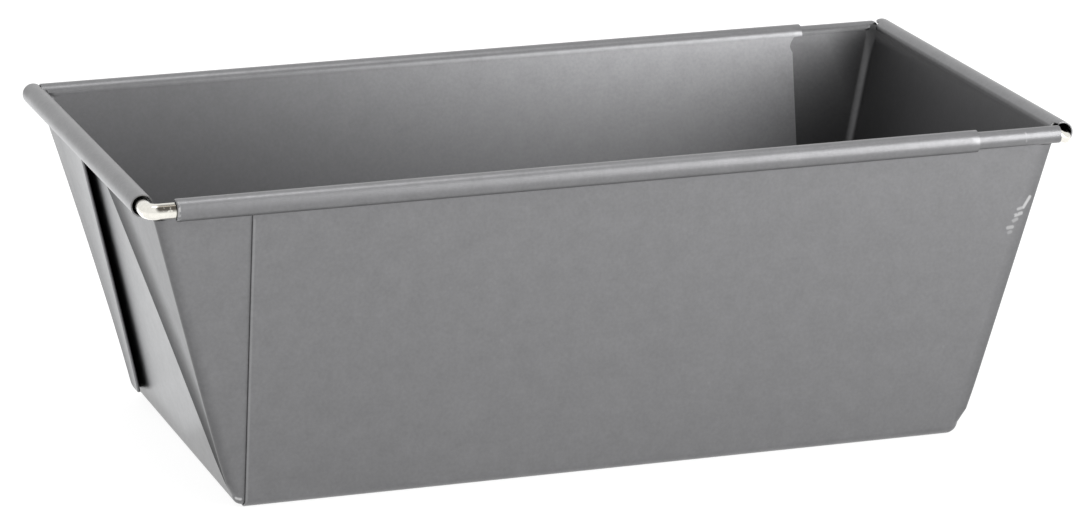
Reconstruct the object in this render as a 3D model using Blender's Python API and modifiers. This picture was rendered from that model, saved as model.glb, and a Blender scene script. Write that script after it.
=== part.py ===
"""An adjustable loaf pan: two folded steel troughs that slide in each other.

The left half slides inside the right half. Each half is one sheet with a rolled rim
and one rim wire. X runs along the pan, the inner half to -X, and Z is up. The origin
is on the table, under the middle of the closed pan.
"""

from math import acos, atan2, cos, hypot, pi, radians, sin, tan

import bmesh
import bpy
from mathutils import Vector

# Driving sizes, in metres
RIM_LENGTH = 0.200            # between the wire centres of the two end rims, pan closed
RIM_WIDTH = 0.106             # between the wire centres of the two long rims
RIM_HEIGHT = 0.068            # wire centre above the table
END_FLARE = radians(14.26)    # lean of the end walls
SIDE_FLARE = radians(6.74)    # lean of the long walls
SHEET = 0.0003                # thickness of the coated steel
CLEARANCE = 0.0002            # running gap between nested sheets and round the wire
OUTER_WIRE_RADIUS = 0.00145
INNER_WIRE_RADIUS = 0.00175
WIRE_CORNER = 0.0021          # bend radius of the wires' centre lines
FOLD_REACH = 0.0019           # length that a rounded fold takes from each flat, outer half
OPEN_EDGE_GAP = 0.0009        # inner half's open edge to the far end's fold, pan closed
SEAM_SETBACK = 0.0028         # outer half's open edge, in from the inner half's end fold
ROLL_OVERRUN = 0.002          # how far the inner half's rim roll passes its open edge
STOP_GAP = 0.0003             # inner wire's ends to the outer rim, pan closed

# Corners of the rim: how far short of the corner each roll stops
FRONT_LEFT_CUT = 0.0055       # both rolls, so that the wire shows
FRONT_RIGHT_LONG_CUT = 0.0016
FRONT_RIGHT_END_CUT = 0
BACK_RIGHT_LONG_CUT = 0.0019
BACK_RIGHT_END_CUT = 0.003
FOLD_MARGIN = 0.0003          # from a rounded corner to where the roll is whole

# Envelope folds on the end walls, doubled sheet
FLAP_WIDTH_SHARE = 0.40       # top width of a flap, as a share of the rim's width
FLAP_FOOT = 0.0023            # height at which a flap grows out of the corner
FLAP_KNEE = 0.007             # height above which it lies clear of the wall
FLAP_KNEE_WIDTH = 0.0042
FLAP_BEND = 0.0007            # bend radius of the doubled sheet's middle at the corner
FLAT_GAP = 0.00025            # between the end wall and a flap that lies flat
PROUD_GAP_CORNER = 0.0011     # behind the flap that stands off the wall, at its head
PROUD_GAP_EDGE = 0.0028
CREASE_TOP = 0.007            # a flap's soft crease, in from the corner, at its head
CREASE_KNEE = 0.002

# Shares of the doubled sheet's thickness where a flap grows out of the wall
ROOT_SHARE = 0.4
NECK_SHARE = 0.6

# Faceting
ROLL_STEP = radians(15)
SHOULDER_START = radians(30)  # part of a roll that runs on past the fold of a corner
COVER_START = radians(75)     # part of it that may pass over the other wire leg
COVER_END = radians(270)
SHARP_ANGLE = radians(40)
FOLD_SEGMENTS = 4
FLAP_BEND_STEPS = 3
WIRE_BEND_STEPS = 8
WIRE_BEVEL_RESOLUTION = 3

# Worked out from the driving sizes
LAYER = SHEET + CLEARANCE                             # pitch of nested sheets
SMALL_ROLL = OUTER_WIRE_RADIUS + CLEARANCE + SHEET / 2    # middle of a roll under another
LARGE_ROLL = SMALL_ROLL + LAYER                       # middle of the rolls outside it
UNDER_CUT = LARGE_ROLL + SHEET / 2 + CLEARANCE        # a roll that stops beside another
OVER_CUT = -LARGE_ROLL                                # a roll that covers the corner
TOLERANCE = SHEET / 10                                # for finding edges by their place


def wall_inset(height, lean, reach):
    """How far inside the rim's wire a wall surface stands, at a height."""
    return (reach + (RIM_HEIGHT - height) * sin(lean)) / cos(lean)


BASE_X = RIM_LENGTH / 2 - wall_inset(0, END_FLARE, LARGE_ROLL - SHEET / 2)    # end fold, on the table
SEAM_X = BASE_X - SEAM_SETBACK
OPEN_X = BASE_X - FOLD_REACH - OPEN_EDGE_GAP


def roll_steps(radius, layers):
    """Steps of a roll whose edge comes back to the wall, clear of the sheets there."""
    tuck = acos(1 - layers * LAYER / radius)
    return int((2 * pi - tuck) / ROLL_STEP)


class Half:
    """One half of the pan. Axis 0 means its long walls and rolls, axis 1 its end."""

    def __init__(self, name, end, side_roll, layer, open_x, cuts):
        self.name = name
        self.end = end                # +1 for the half that is closed at +X
        self.rolls = (side_roll, LARGE_ROLL)
        self.leans = (SIDE_FLARE, END_FLARE)
        self.rims = (RIM_WIDTH / 2, RIM_LENGTH / 2)
        self.steps = (roll_steps(side_roll, layer + 1), roll_steps(LARGE_ROLL, layer + 1))
        self.floor = SHEET / 2 + layer * LAYER
        self.fold = FOLD_REACH - layer * LAYER * tan((pi / 2 - SIDE_FLARE) / 2)
        self.open_x = -end * open_x
        self.cuts = cuts              # (axis, side): what a roll stops short of the corner

    def end_x(self, height, depth=0.0):
        """X of the end wall's middle surface, or of one `depth` outside it."""
        inset = wall_inset(height, END_FLARE, self.rolls[1] - depth)
        return self.end * (RIM_LENGTH / 2 - inset)

    def side_y(self, height, depth=0.0):
        """Y of the back wall's middle surface, or of one `depth` outside it."""
        return RIM_WIDTH / 2 - wall_inset(height, SIDE_FLARE, self.rolls[0] - depth)

    def roll_start(self, axis, side):
        """Distance from the corner at which a roll is whole, clear of the rounded fold."""
        across = 1 - axis
        fold = wall_inset(RIM_HEIGHT, self.leans[across], self.rolls[across]) + self.fold
        return max(self.cuts[axis, side], fold + FOLD_MARGIN)


INNER = Half(
    "inner_pan", -1, LARGE_ROLL, 1, OPEN_X,
    cuts={(0, -1): FRONT_LEFT_CUT, (1, -1): FRONT_LEFT_CUT, (0, 1): UNDER_CUT, (1, 1): OVER_CUT})
OUTER = Half(
    "outer_pan", 1, SMALL_ROLL, 0, SEAM_X,
    cuts={(0, -1): FRONT_RIGHT_LONG_CUT, (1, -1): FRONT_RIGHT_END_CUT,
          (0, 1): BACK_RIGHT_LONG_CUT, (1, 1): BACK_RIGHT_END_CUT})


def clear_scene():
    for item in list(bpy.data.objects):
        bpy.data.objects.remove(item, do_unlink=True)


def new_collection(name):
    collection = bpy.data.collections.new(name)
    bpy.context.scene.collection.children.link(collection)
    return collection


def new_material(name, color, roughness, metallic):
    material = bpy.data.materials.new(name)
    material.use_nodes = True
    shader = material.node_tree.nodes["Principled BSDF"]
    shader.inputs["Base Color"].default_value = (*color, 1.0)
    shader.inputs["Roughness"].default_value = roughness
    shader.inputs["Metallic"].default_value = metallic
    return material


def new_object(name, bm, collection, material):
    mesh = bpy.data.meshes.new(name)
    bm.normal_update()
    bm.to_mesh(mesh)
    bm.free()
    mesh.shade_smooth()
    mesh.set_sharp_from_angle(angle=SHARP_ANGLE)
    mesh.materials.append(material)
    item = bpy.data.objects.new(name, mesh)
    collection.objects.link(item)
    return item


def add_solidify(item, thickness):
    shell = item.modifiers.new("thickness", "SOLIDIFY")
    shell.thickness = thickness
    shell.offset = 0
    shell.use_even_offset = True
    shell.use_quality_normals = True
    return shell


def trough(half):
    """The walls and floor as one open surface: a tapered box without top and open end."""
    bm = bmesh.new()
    bmesh.ops.create_cube(bm, size=1)
    bm.normal_update()
    lids = [face for face in bm.faces if face.normal.z > cos(SHARP_ANGLE)]
    lids += [face for face in bm.faces if face.normal.x * half.end < -cos(SHARP_ANGLE)]
    bmesh.ops.delete(bm, geom=lids, context="FACES")
    for vert in bm.verts:
        height = RIM_HEIGHT if vert.co.z > 0 else half.floor
        side = 1 if vert.co.y > 0 else -1
        closed = vert.co.x * half.end > 0
        vert.co = (half.end_x(height) if closed else half.open_x, side * half.side_y(height), height)
    folds = [edge for edge in bm.edges if not edge.is_boundary]
    bmesh.ops.bevel(bm, geom=folds, offset=half.fold, segments=FOLD_SEGMENTS, profile=0.5,
                    affect="EDGES", material=-1, clamp_overlap=True)
    return bm


def cut(bm, axis, place):
    """Add an edge loop where a plane across an axis meets the sheet."""
    geometry = bm.verts[:] + bm.edges[:] + bm.faces[:]
    normal = Vector((1, 0, 0)) if axis == 0 else Vector((0, 1, 0))
    bmesh.ops.bisect_plane(bm, geom=geometry, plane_co=normal * place, plane_no=normal, dist=TOLERANCE)


def top_edges(bm, axis, low, high, side):
    """The free top edges along an axis, between two places, on one side of the pan."""
    found = []
    for edge in bm.edges:
        middle = (edge.verts[0].co + edge.verts[1].co) / 2
        along = abs((edge.verts[0].co - edge.verts[1].co)[axis])
        level = all(abs(vert.co.z - RIM_HEIGHT) < TOLERANCE for vert in edge.verts)
        on_side = middle[1 - axis] * side > 0
        if edge.is_boundary and level and along > SHEET and on_side and low < middle[axis] < high:
            found.append(edge)
    return found


def extrude(bm, edges, offset):
    """Draw edges out by an offset and return the new free edges."""
    made = bmesh.ops.extrude_edge_only(bm, edges=edges)["geom"]
    verts = [item for item in made if isinstance(item, bmesh.types.BMVert)]
    bmesh.ops.translate(bm, verts=verts, vec=offset)
    fresh = set(verts)
    return [edge for edge in bm.edges if edge.verts[0] in fresh and edge.verts[1] in fresh]


def roll_rim(bm, half, axis, side, low, high):
    """Raise the wall's top edge to the roll and spin it outward round the wire."""
    lean = half.leans[axis]
    rise = half.rolls[axis] * sin(lean)
    outward = Vector((side, 0, 0)) if axis == 1 else Vector((0, side, 0))
    edges = top_edges(bm, axis, low, high, side)
    edges = extrude(bm, edges, outward * rise * tan(lean) + Vector((0, 0, rise)))
    centre = outward * half.rims[axis] + Vector((0, 0, RIM_HEIGHT))
    spin_axis = Vector((0, 0, 1)).cross(outward)
    bmesh.ops.spin(bm, geom=edges, cent=centre, axis=spin_axis,
                   angle=half.steps[axis] * ROLL_STEP, steps=half.steps[axis], use_merge=False)


def roll_end_edges(bm, half, axis, side, place, start, end):
    """Edges of a roll's open end, between two angles counted from the wall over the top."""
    found = []
    for edge in bm.edges:
        middle = (edge.verts[0].co + edge.verts[1].co) / 2
        flat = all(abs(vert.co[axis] - place) < TOLERANCE for vert in edge.verts)
        inward = half.rims[axis] - middle[1 - axis] * side
        rise = middle.z - RIM_HEIGHT
        angle = atan2(rise, inward) % (2 * pi)
        near = hypot(inward, rise) < half.rolls[axis] + SHEET
        if edge.is_boundary and flat and near and start < angle < end:
            found.append(edge)
    return found


def add_cover(bm, half, axis, side, corner):
    """Run a roll on towards the corner: all but its root, then only its top and outside."""
    toward = half.end if axis == 0 else corner
    direction = Vector((toward, 0, 0)) if axis == 0 else Vector((0, toward, 0))
    place = half.roll_start(axis, corner)
    last = half.cuts[axis, corner]
    for start, stop in ((SHOULDER_START, max(last, UNDER_CUT)), (COVER_START, last)):
        if stop < place:
            along = toward * (half.rims[1 - axis] - place)
            edges = roll_end_edges(bm, half, axis, side, along, start, COVER_END)
            extrude(bm, edges, direction * (place - stop))
            place = stop


def corner_bend():
    """The doubled sheet's turn round the corner: shares of its bend radius, in and out."""
    turns = [pi / 2 * step / FLAP_BEND_STEPS for step in range(FLAP_BEND_STEPS + 1)]
    return [(1 - cos(turn), sin(turn) - 1) for turn in turns]


def flap_rows(half, gap_corner, gap_edge, crease, width):
    """One level of a flap: inset from the side wall, distance off the end wall, thickness."""
    start = half.fold + SHEET / 2
    rows = [(ROOT_SHARE * SHEET, -start, ROOT_SHARE), (NECK_SHARE * SHEET, -start / 2, NECK_SHARE)]
    level = gap_corner + SHEET
    for inward, outward in corner_bend():
        rows.append((SHEET + inward * FLAP_BEND, level + outward * FLAP_BEND, 1))
    rows.append((max(crease, SHEET + FLAP_BEND + TOLERANCE), level, 1))
    rows.append((width, gap_edge + SHEET, 1))
    return rows


def flap_surface(half, side, gap_corner, gap_edge):
    """An envelope fold's middle surface: it grows out of the corner and lies on the end wall."""
    head = RIM_HEIGHT - LARGE_ROLL - SHEET / 2 - CLEARANCE
    knee = flap_rows(half, FLAT_GAP, FLAT_GAP, CREASE_KNEE, FLAP_KNEE_WIDTH)
    top = flap_rows(half, gap_corner, gap_edge, CREASE_TOP, FLAP_WIDTH_SHARE * RIM_WIDTH)
    foot = []
    for inset, distance, share in knee:
        foot.append((max(inset, SHEET), min(distance, -SHEET / 2), ROOT_SHARE))

    bm = bmesh.new()
    thickness = bm.verts.layers.deform.verify()
    columns = []
    for height, rows in ((FLAP_FOOT, foot), (FLAP_KNEE, knee), (head, top)):
        column = []
        for inset, distance, share in rows:
            x = half.end_x(height, SHEET / 2) + half.end * distance / cos(END_FLARE)
            y = side * (half.side_y(height, SHEET / 2) - inset)
            vert = bm.verts.new((x, y, height))
            vert[thickness][0] = share
            column.append(vert)
        columns.append(column)
    for low, high in zip(columns, columns[1:]):
        for index in range(len(low) - 1):
            bm.faces.new((low[index], high[index], high[index + 1], low[index + 1]))
    bmesh.ops.recalc_face_normals(bm, faces=bm.faces[:])
    return bm


def add_flap(half, pan, side, gap_corner, gap_edge, guides, material):
    """Join an envelope fold to the corner of the pan."""
    name = f"{half.name}_flap_{'back' if side > 0 else 'front'}"
    flap = new_object(name, flap_surface(half, side, gap_corner, gap_edge), guides, material)
    flap.vertex_groups.new(name="thickness")
    shell = add_solidify(flap, 2 * SHEET)
    shell.vertex_group = "thickness"
    flap.hide_render = True
    flap.display_type = "WIRE"
    union = pan.modifiers.new(name, "BOOLEAN")
    union.operation = "UNION"
    union.solver = "EXACT"
    union.object = flap


def folded_pan(half, parts, guides, material):
    """One half: trough, rim rolls with their corner covers, and two envelope folds."""
    bm = trough(half)
    starts = {}
    for corner in (-1, 1):
        starts[0, corner] = half.end * (half.rims[1] - half.roll_start(0, corner))
        starts[1, corner] = corner * (half.rims[0] - half.roll_start(1, corner))
    for (axis, _), place in starts.items():
        cut(bm, axis, place)
    for side in (-1, 1):
        low, high = sorted((half.open_x, starts[0, side]))
        roll_rim(bm, half, 0, side, low, high)
    roll_rim(bm, half, 1, half.end, starts[1, -1], starts[1, 1])

    for corner in (-1, 1):
        add_cover(bm, half, 0, corner, corner)
        add_cover(bm, half, 1, half.end, corner)
    if half is INNER:
        for side in (-1, 1):
            edges = roll_end_edges(bm, half, 0, side, half.open_x, 0, 2 * pi)
            extrude(bm, edges, Vector((-half.end * ROLL_OVERRUN, 0, 0)))
    bmesh.ops.recalc_face_normals(bm, faces=bm.faces[:])

    pan = new_object(half.name, bm, parts, material)
    add_solidify(pan, SHEET)
    add_flap(half, pan, 1, PROUD_GAP_CORNER, PROUD_GAP_EDGE, guides, material)
    add_flap(half, pan, -1, FLAT_GAP, FLAT_GAP, guides, material)
    return pan


def rim_wire(name, end, radius, leg_end, parts, material):
    """A U of round wire in the rim: two legs, an end run and two rounded corners."""
    corner_x = RIM_LENGTH / 2 - WIRE_CORNER
    corner_y = RIM_WIDTH / 2 - WIRE_CORNER
    points = [(leg_end, -RIM_WIDTH / 2)]
    for side in (-1, 1):
        for step in range(WIRE_BEND_STEPS + 1):
            turn = pi / 2 * step / WIRE_BEND_STEPS
            angle = turn - pi / 2 if side < 0 else turn
            x = end * (corner_x + WIRE_CORNER * cos(angle))
            y = side * corner_y + WIRE_CORNER * sin(angle)
            points.append((x, y))
    points.append((leg_end, RIM_WIDTH / 2))

    curve = bpy.data.curves.new(name, "CURVE")
    curve.dimensions = "3D"
    curve.bevel_depth = radius
    curve.bevel_resolution = WIRE_BEVEL_RESOLUTION
    curve.use_fill_caps = True
    spline = curve.splines.new("POLY")
    spline.points.add(len(points) - 1)
    for point, (x, y) in zip(spline.points, points):
        point.co = (x, y, RIM_HEIGHT, 1)
    curve.materials.append(material)
    wire = bpy.data.objects.new(name, curve)
    parts.objects.link(wire)
    return wire


def main():
    clear_scene()
    parts = new_collection("adjustable_loaf_pan")
    guides = new_collection("fold_guides")
    left_coating = new_material("inner_pan_coating", (0.30, 0.30, 0.31), 0.42, 0.75)
    right_coating = new_material("outer_pan_coating", (0.27, 0.27, 0.28), 0.42, 0.75)
    left_steel = new_material("inner_rim_wire_steel", (0.80, 0.79, 0.76), 0.18, 1.0)
    right_steel = new_material("outer_rim_wire_steel", (0.80, 0.79, 0.76), 0.18, 1.0)

    folded_pan(INNER, parts, guides, left_coating)
    folded_pan(OUTER, parts, guides, right_coating)
    inner_leg_end = -SEAM_X - STOP_GAP
    outer_leg_end = -SEAM_X
    rim_wire("inner_rim_wire", INNER.end, INNER_WIRE_RADIUS, inner_leg_end, parts, left_steel)
    rim_wire("outer_rim_wire", OUTER.end, OUTER_WIRE_RADIUS, outer_leg_end, parts, right_steel)


main()
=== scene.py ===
"""The looks of an adjustable loaf pan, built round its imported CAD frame.

It is laid out as a Blender add-on and run as a script. All sizes are in metres and in
the frame's own axes: X runs along the pan, the inner half to -X, and Z is up.
"""

from functools import reduce
from math import acos, atan2, cos, hypot, pi, radians, sin, tan

import bmesh
import bpy
from bpy.props import FloatProperty, FloatVectorProperty, PointerProperty
from mathutils import Matrix, Vector


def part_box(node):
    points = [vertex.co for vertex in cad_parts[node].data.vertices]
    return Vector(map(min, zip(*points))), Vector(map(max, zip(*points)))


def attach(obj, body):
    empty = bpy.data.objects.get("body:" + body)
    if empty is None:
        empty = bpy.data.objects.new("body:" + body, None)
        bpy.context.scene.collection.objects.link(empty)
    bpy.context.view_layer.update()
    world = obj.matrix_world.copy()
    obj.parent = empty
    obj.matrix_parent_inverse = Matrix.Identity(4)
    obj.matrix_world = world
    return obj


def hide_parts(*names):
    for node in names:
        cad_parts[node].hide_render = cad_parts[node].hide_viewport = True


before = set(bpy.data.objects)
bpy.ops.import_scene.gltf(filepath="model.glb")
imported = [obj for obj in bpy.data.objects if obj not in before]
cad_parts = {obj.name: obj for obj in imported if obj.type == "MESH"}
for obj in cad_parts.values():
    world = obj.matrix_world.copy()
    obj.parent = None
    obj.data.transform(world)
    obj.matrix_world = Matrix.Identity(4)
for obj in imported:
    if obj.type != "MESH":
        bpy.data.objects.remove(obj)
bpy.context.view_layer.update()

bl_info = {
    "name": "Adjustable Loaf Pan",
    "version": (1, 0, 0),
    "blender": (4, 5, 0),
    "location": "View3D > Sidebar > Loaf Pan",
    "description": "Builds the pan's two folded halves, their rim wires and a plain studio",
    "category": "Add Mesh",
}

# Bodies of the frame
INNER_BODY = "inner_half"
OUTER_BODY = "outer_half"

# Attribute that dulls the coating and paints shade along the flaps' folded edges and on the collar,
# and group that thins the flaps' feet
FOLD_DULL_SHADE = "fold_line"
THICKNESS = "thickness"

# Number of the vertical axis
UP = 2

# Distances within which points lie in one plane, or are one point of a sheet or a wire
IN_PLANE = 0.00003
ONE_POINT = 0.000003
ONE_POINT_OF_WIRE = 0.0000015

# Faceting
ROLL_STEP = radians(6)
FOLD_SEGMENTS = 10
BEND_STEPS = 6
EDGE_TURN_STEPS = 6
FLAP_LEVELS = 12
FLAP_FACE_STEPS = 6
CAP_STEPS = 4
WIRE_SEGMENTS = 40
WIRE_BEND_STEPS = 14
EDGE_SEGMENTS = 2
SHARP_ANGLE = radians(40)

# Angles round a rolled rim, counted from the wall over the top, and turn of a rounded end
SHOULDER_RISE = (radians(3), radians(19))
SHOULDER_FALL = (radians(255), radians(276))
COVER_RISE = (radians(57), radians(63))
COVER_FALL = (radians(249), radians(261))
CAP_TURN = radians(80)

# Most of a flap's face that may leave the wall, and share of the sheet's thickness at its foot
LIFT_LIMIT = 0.8
FOOT_THICKNESS = 0.4

# How the proud flap's dulling and painted shade fade: up to the rim, across the flap, and what its
# edge keeps
FADE_UP = 0.6
FADE_ACROSS = 0.55
EDGE_KEEPS = 0.25

# Grain of the coating: scale of its mottle, and roughness that a lighter flake loses
MOTTLE_SCALE = 250.0
FLAKE_SMOOTHING = -0.3

# Bright flecks: their scale, fading edge, rarity and strength
FLECK_SCALE = 170.0
FLECK_EDGE = (0.03, 0.09)
FLECK_RARITY = 0.8
FLECK_AMOUNT = 0.04

# Line marks for rub marks, painted highlights and the painted dark reflection: fading edge as
# shares of the width, scale of their breaks and softness of those
RUB_EDGE = (0.3, 1.0)
RUB_BREAKS = 900.0
RUB_SOFTNESS = 0.05

# Spans over which the insides' painted light and shade change: shares of the rim's half length
# (painted light, far) and of its height (low), and distances from the end rim (near)
PAINTED_LIGHT_SPAN = (-0.9, 0.4)
LOW_SPAN = (0.6, 1.1)
FAR_SPAN = (0.1, 0.6)
FAR_LEAST = 0.4
NEAR_SPAN = (0.017, 0.006)
NEAR_DEPTH = 0.95

# Results of a span that goes from all to none
FALLING = (1.0, 0.0)

# Slope with which the floor counts in `inside_mask` as a wall whose inside lies above it
FLOOR_SLOPE = 2

# Side of the back roll darkened by painted shade, in radii from its centre: up from, up to, and in
# from the back
RIM_SHADE_START = (-0.1, 1 / 3)
RIM_SHADE_STOP = (0.5, 1.0)
RIM_SHADE_BACK = (-2.0, -1.0)

# Painted dark reflection on the bare wire at the front left: run in X, turn up the wire, width,
# least noise
DARK_REFLECTION_RUN = (-0.0980, -0.0935)
DARK_REFLECTION_TURN = radians(40)
DARK_REFLECTION_WIDTH = 0.0012
DARK_REFLECTION_LEAST = 0.38

# Rub marks, painted highlights and a light mark: two points, then width, least noise and weight.
# The outer half's points are (X, Z) on its front wall or front roll. The wall's marks are rub
# marks; the seam's light line, the front roll's left end and the inner half's foot at the front
# left are painted highlights, and the front roll's short line is a light mark
WALL_RUBS = (((0.0939, 0.0538), (0.0926, 0.0515), 0.0005, 0.3, 0.6),
             ((0.0926, 0.0515), (0.0914, 0.0512), 0.0005, 0.3, 0.45),
             ((0.0908, 0.0498), (0.0922, 0.0502), 0.0006, 0.4, 0.5),
             ((0.0903, 0.0485), (0.0912, 0.0489), 0.0006, 0.4, 0.3),
             ((0.0893, 0.0471), (0.0903, 0.0472), 0.0006, 0.4, 0.4),
             ((0.0896, 0.0460), (0.0900, 0.0461), 0.0006, 0.3, 0.22))
ROLL_LIGHT_MARK = ((0.0906, 0.0693), (0.0907, 0.0674), 0.0003, 0.2, 0.22)
SEAM_HIGHLIGHT_TOP = 0.064
SEAM_HIGHLIGHT = (0.0003, 0.2, 0.10)
FOOT_GLINT = ((-0.0806, -0.0427, 0.0023), (-0.0798, -0.0430, 0.0021), 0.0005, 0.2, 0.7)
# The painted highlight at the front roll's left end: its reach up and down, then width, least noise
# and weight
ROLL_END_REACH = 0.0015
ROLL_END_HIGHLIGHT = (0.0004, 0.45, 0.5)

# Lamps of the studio: place, point that the lamp faces, size and colour
WHITE = (1.0, 1.0, 1.0)
FAINT_BLUE = (0.96, 0.98, 1.0)
LAMPS = {
    "front_softbox": ((0.60, -0.6, 0.39), (0.60, 0, 0.39), (0.60, 0.78), WHITE),
    "front_card": ((0.68, -0.60, 0.002), (0.68, -0.60, 1), (0.7, 0.6), WHITE),
    "back_card": ((-0.172, 0.25, 0.002), (-0.172, 0.25, 1), (0.175, 0.50), FAINT_BLUE),
    "overhead_strip": ((-0.05, -0.05, 0.8), (-0.05, -0.05, 0), (0.5, 0.14), WHITE),
}
FLOOR_SIZE = 3

wire_low, wire_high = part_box("outer_rim_wire")
OUTER_RADIUS = (wire_high.z - wire_low.z) / 2
RIM_HEIGHT = (wire_high.z + wire_low.z) / 2
HALF_LENGTH = wire_high.x - OUTER_RADIUS
HALF_WIDTH = wire_high.y - OUTER_RADIUS
OUTER_LEG_END = wire_low.x
wire_low, wire_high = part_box("inner_rim_wire")
INNER_RADIUS = (wire_high.z - wire_low.z) / 2
INNER_LEG_END = wire_high.x


def property_of(prop, **kind):
    """A short way to write properties of one kind: name, default and description."""
    return lambda name, default, description: prop(
        name=name, default=default, description=description, **kind)


length = property_of(FloatProperty, min=0, subtype="DISTANCE", unit="LENGTH", precision=5)
angle = property_of(FloatProperty, subtype="ANGLE", unit="ROTATION")
share = property_of(FloatProperty, min=0, soft_max=1, subtype="FACTOR")
amount = property_of(FloatProperty, subtype="NONE")
lens = property_of(FloatProperty, min=1, subtype="DISTANCE_CAMERA", unit="CAMERA")
place = property_of(FloatVectorProperty, size=3, subtype="TRANSLATION", unit="LENGTH",
                    precision=5)
colour = property_of(FloatVectorProperty, size=3, min=0, max=1, subtype="COLOR")


class LoafPanSizes(bpy.types.PropertyGroup):
    """Sizes of the folded sheets and their rims."""

    rim_length: length("Rim length", 2 * HALF_LENGTH, "Between the end rims' wire centres")
    rim_width: length("Rim width", 2 * HALF_WIDTH, "Between the long rims' wire centres")
    rim_height: length("Rim height", RIM_HEIGHT, "Wire centre above the table")
    end_flare: angle("End flare", radians(14.26), "Lean of the end walls")
    side_flare: angle("Side flare", radians(6.74), "Lean of the long walls")
    sheet: length("Sheet", 0.0003, "Thickness of the coated steel")
    clearance: length("Clearance", 0.0002, "Running gap between sheets and round the wire")
    fold_reach: length("Fold reach", 0.0019, "Length that a rounded fold takes from each flat")
    open_edge_gap: length("Open edge gap", 0.0009, "Inner half's open edge to the far fold")
    seam_setback: length("Seam setback", 0.0028, "Outer half's open edge, from the end fold")
    seam_slant: length("Seam slant", 0.0011, "How much further that edge reaches below")
    roll_overrun: length("Roll overrun", 0.002, "Rim roll past the inner half's open edge")
    edge_round: length("Edge rounding", 0.00007, "Rounding along the sheet's cut edges")
    notch_depth: length("Notch depth", 0.0011, "Relief under the rim in the inner open edge")
    notch_height: length("Notch height", 0.0042, "Height of that relief")
    collar_height: length("Collar height", 0.0013, "Rise of the back folds into the rim")
    collar_lean: length("Collar lean", 0.0006, "Lean of that rise along both axes")


class LoafPanCorners(bpy.types.PropertyGroup):
    """How far short of the rim's corners the rolls stop, and how they end."""

    front_left: length("Front left", 0.0058, "Both rolls, so that the wire shows")
    front_right_long: length("Front right, long", 0.0013, "Long roll at the front right")
    front_right_end: length("Front right, end", 0.0008, "End roll at the front right")
    back_right_long: length("Back right, long", 0.0023, "Long roll at the back right")
    back_right_end: length("Back right, end", 0.0007, "End roll at the back right")
    lap: length("Lap", 0.0011, "How far the inner half's long back roll runs into its end roll")
    fold_margin: length("Fold margin", 0.0003, "From a rounded corner to the whole roll")
    cap: length("Cap", 0.0013, "Rounded ends of the rolls at the back")
    crimp: length("Crimp", 0.00022, "Closing of the inner long roll onto the wire, in front")


class LoafPanFlaps(bpy.types.PropertyGroup):
    """What the envelope folds on the end walls have in common."""

    foot: length("Foot", 0.0024, "Height at which a flap leaves the corner fold")
    bend: length("Bend", 0.0008, "Bend radius of the sheet round the corner")
    edge_turn: length("Edge turn", 0.00019, "Bend radius of the folded free edge")
    # The flaps' dulling also paints shade: their faces are darkened along the free edge and at the
    # corner
    dull_width: length("Dull width", 0.023, "Dulled strip along a flat flap's free edge")
    flat_dulling: share("Flat dulling", 0.34, "Dulling of a flat flap at its corner")
    proud_dulling: share("Proud dulling", 0.95, "Dulling of the proud flap at its corner")


def flap_form(knee, knee_width, head_width, bow, gap_bow, corner_gaps, edge_gaps, lift_width):
    """The properties of one envelope fold, with its own defaults."""
    return {
        "knee": length("Knee", knee, "Height above which the flap has its full fold"),
        "knee_width": length("Knee width", knee_width, "Width of the flap at the knee"),
        "head_width": length("Head width", head_width, "Width of the flap under the rim"),
        "bow": amount("Bow", bow, "Curve of the slanting edge, 1 for a straight one"),
        "gap_bow": amount("Gap bow", gap_bow, "Curve of the gaps' growth, knee to head"),
        "corner_gap": length("Corner gap", corner_gaps[0], "Behind the corner, at the knee"),
        "corner_gap_head": length("Corner gap, head", corner_gaps[1], "Same, under the rim"),
        "edge_gap": length("Edge gap", edge_gaps[0], "Behind the free edge, at the knee"),
        "edge_gap_head": length("Edge gap, head", edge_gaps[1], "Same, under the rim"),
        "lift_width": length("Lift width", lift_width, "Strip that leaves the wall"),
    }


class LoafPanFlatFlap(bpy.types.PropertyGroup):
    """The front fold, which lies close to its end wall and curls off it at the free edge."""

    __annotations__ = flap_form(
        knee=0.0058, knee_width=0.0016, head_width=0.0462, bow=1.2, gap_bow=0.35,
        corner_gaps=(0.00005, 0.0005), edge_gaps=(0.00005, 0.00095), lift_width=0.0165)


class LoafPanProudFlap(bpy.types.PropertyGroup):
    """The back fold, which springs off its end wall and leaves a gap one can look into."""

    __annotations__ = flap_form(
        knee=0.0050, knee_width=0.0145, head_width=0.0375, bow=0.88, gap_bow=2.0,
        corner_gaps=(0.00003, 0.00098), edge_gaps=(0.00155, 0.00138), lift_width=0.016)


class LoafPanWires(bpy.types.PropertyGroup):
    """The round steel wires in the rims."""

    inner_radius: length("Inner radius", INNER_RADIUS, "Radius of the inner half's wire")
    outer_radius: length("Outer radius", OUTER_RADIUS, "Radius of the outer half's wire")
    inner_corner: length("Inner corner", 0.0021, "Bend radius of the inner wire's centre line")
    outer_corner: length("Outer corner", 0.0015, "Bend radius of the outer wire's centre line")
    end_round: length("End rounding", 0.0003, "Rounding of a wire's cut ends")
    outer_sag: length("Outer sag", 0.0006, "How low the outer wire's end run lies in its roll")
    outer_shift: length("Outer shift", 0.0003, "How far out that end run lies in its roll")
    bend_sag: length("Bend sag", 0.0003, "How much lower its front bend hangs")
    back_sag: length("Back sag", 0.0006, "How much lower both wires' back bends hang")
    bend_shift: length("Bend shift", 0.0003, "How much further out its bends stand")


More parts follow.
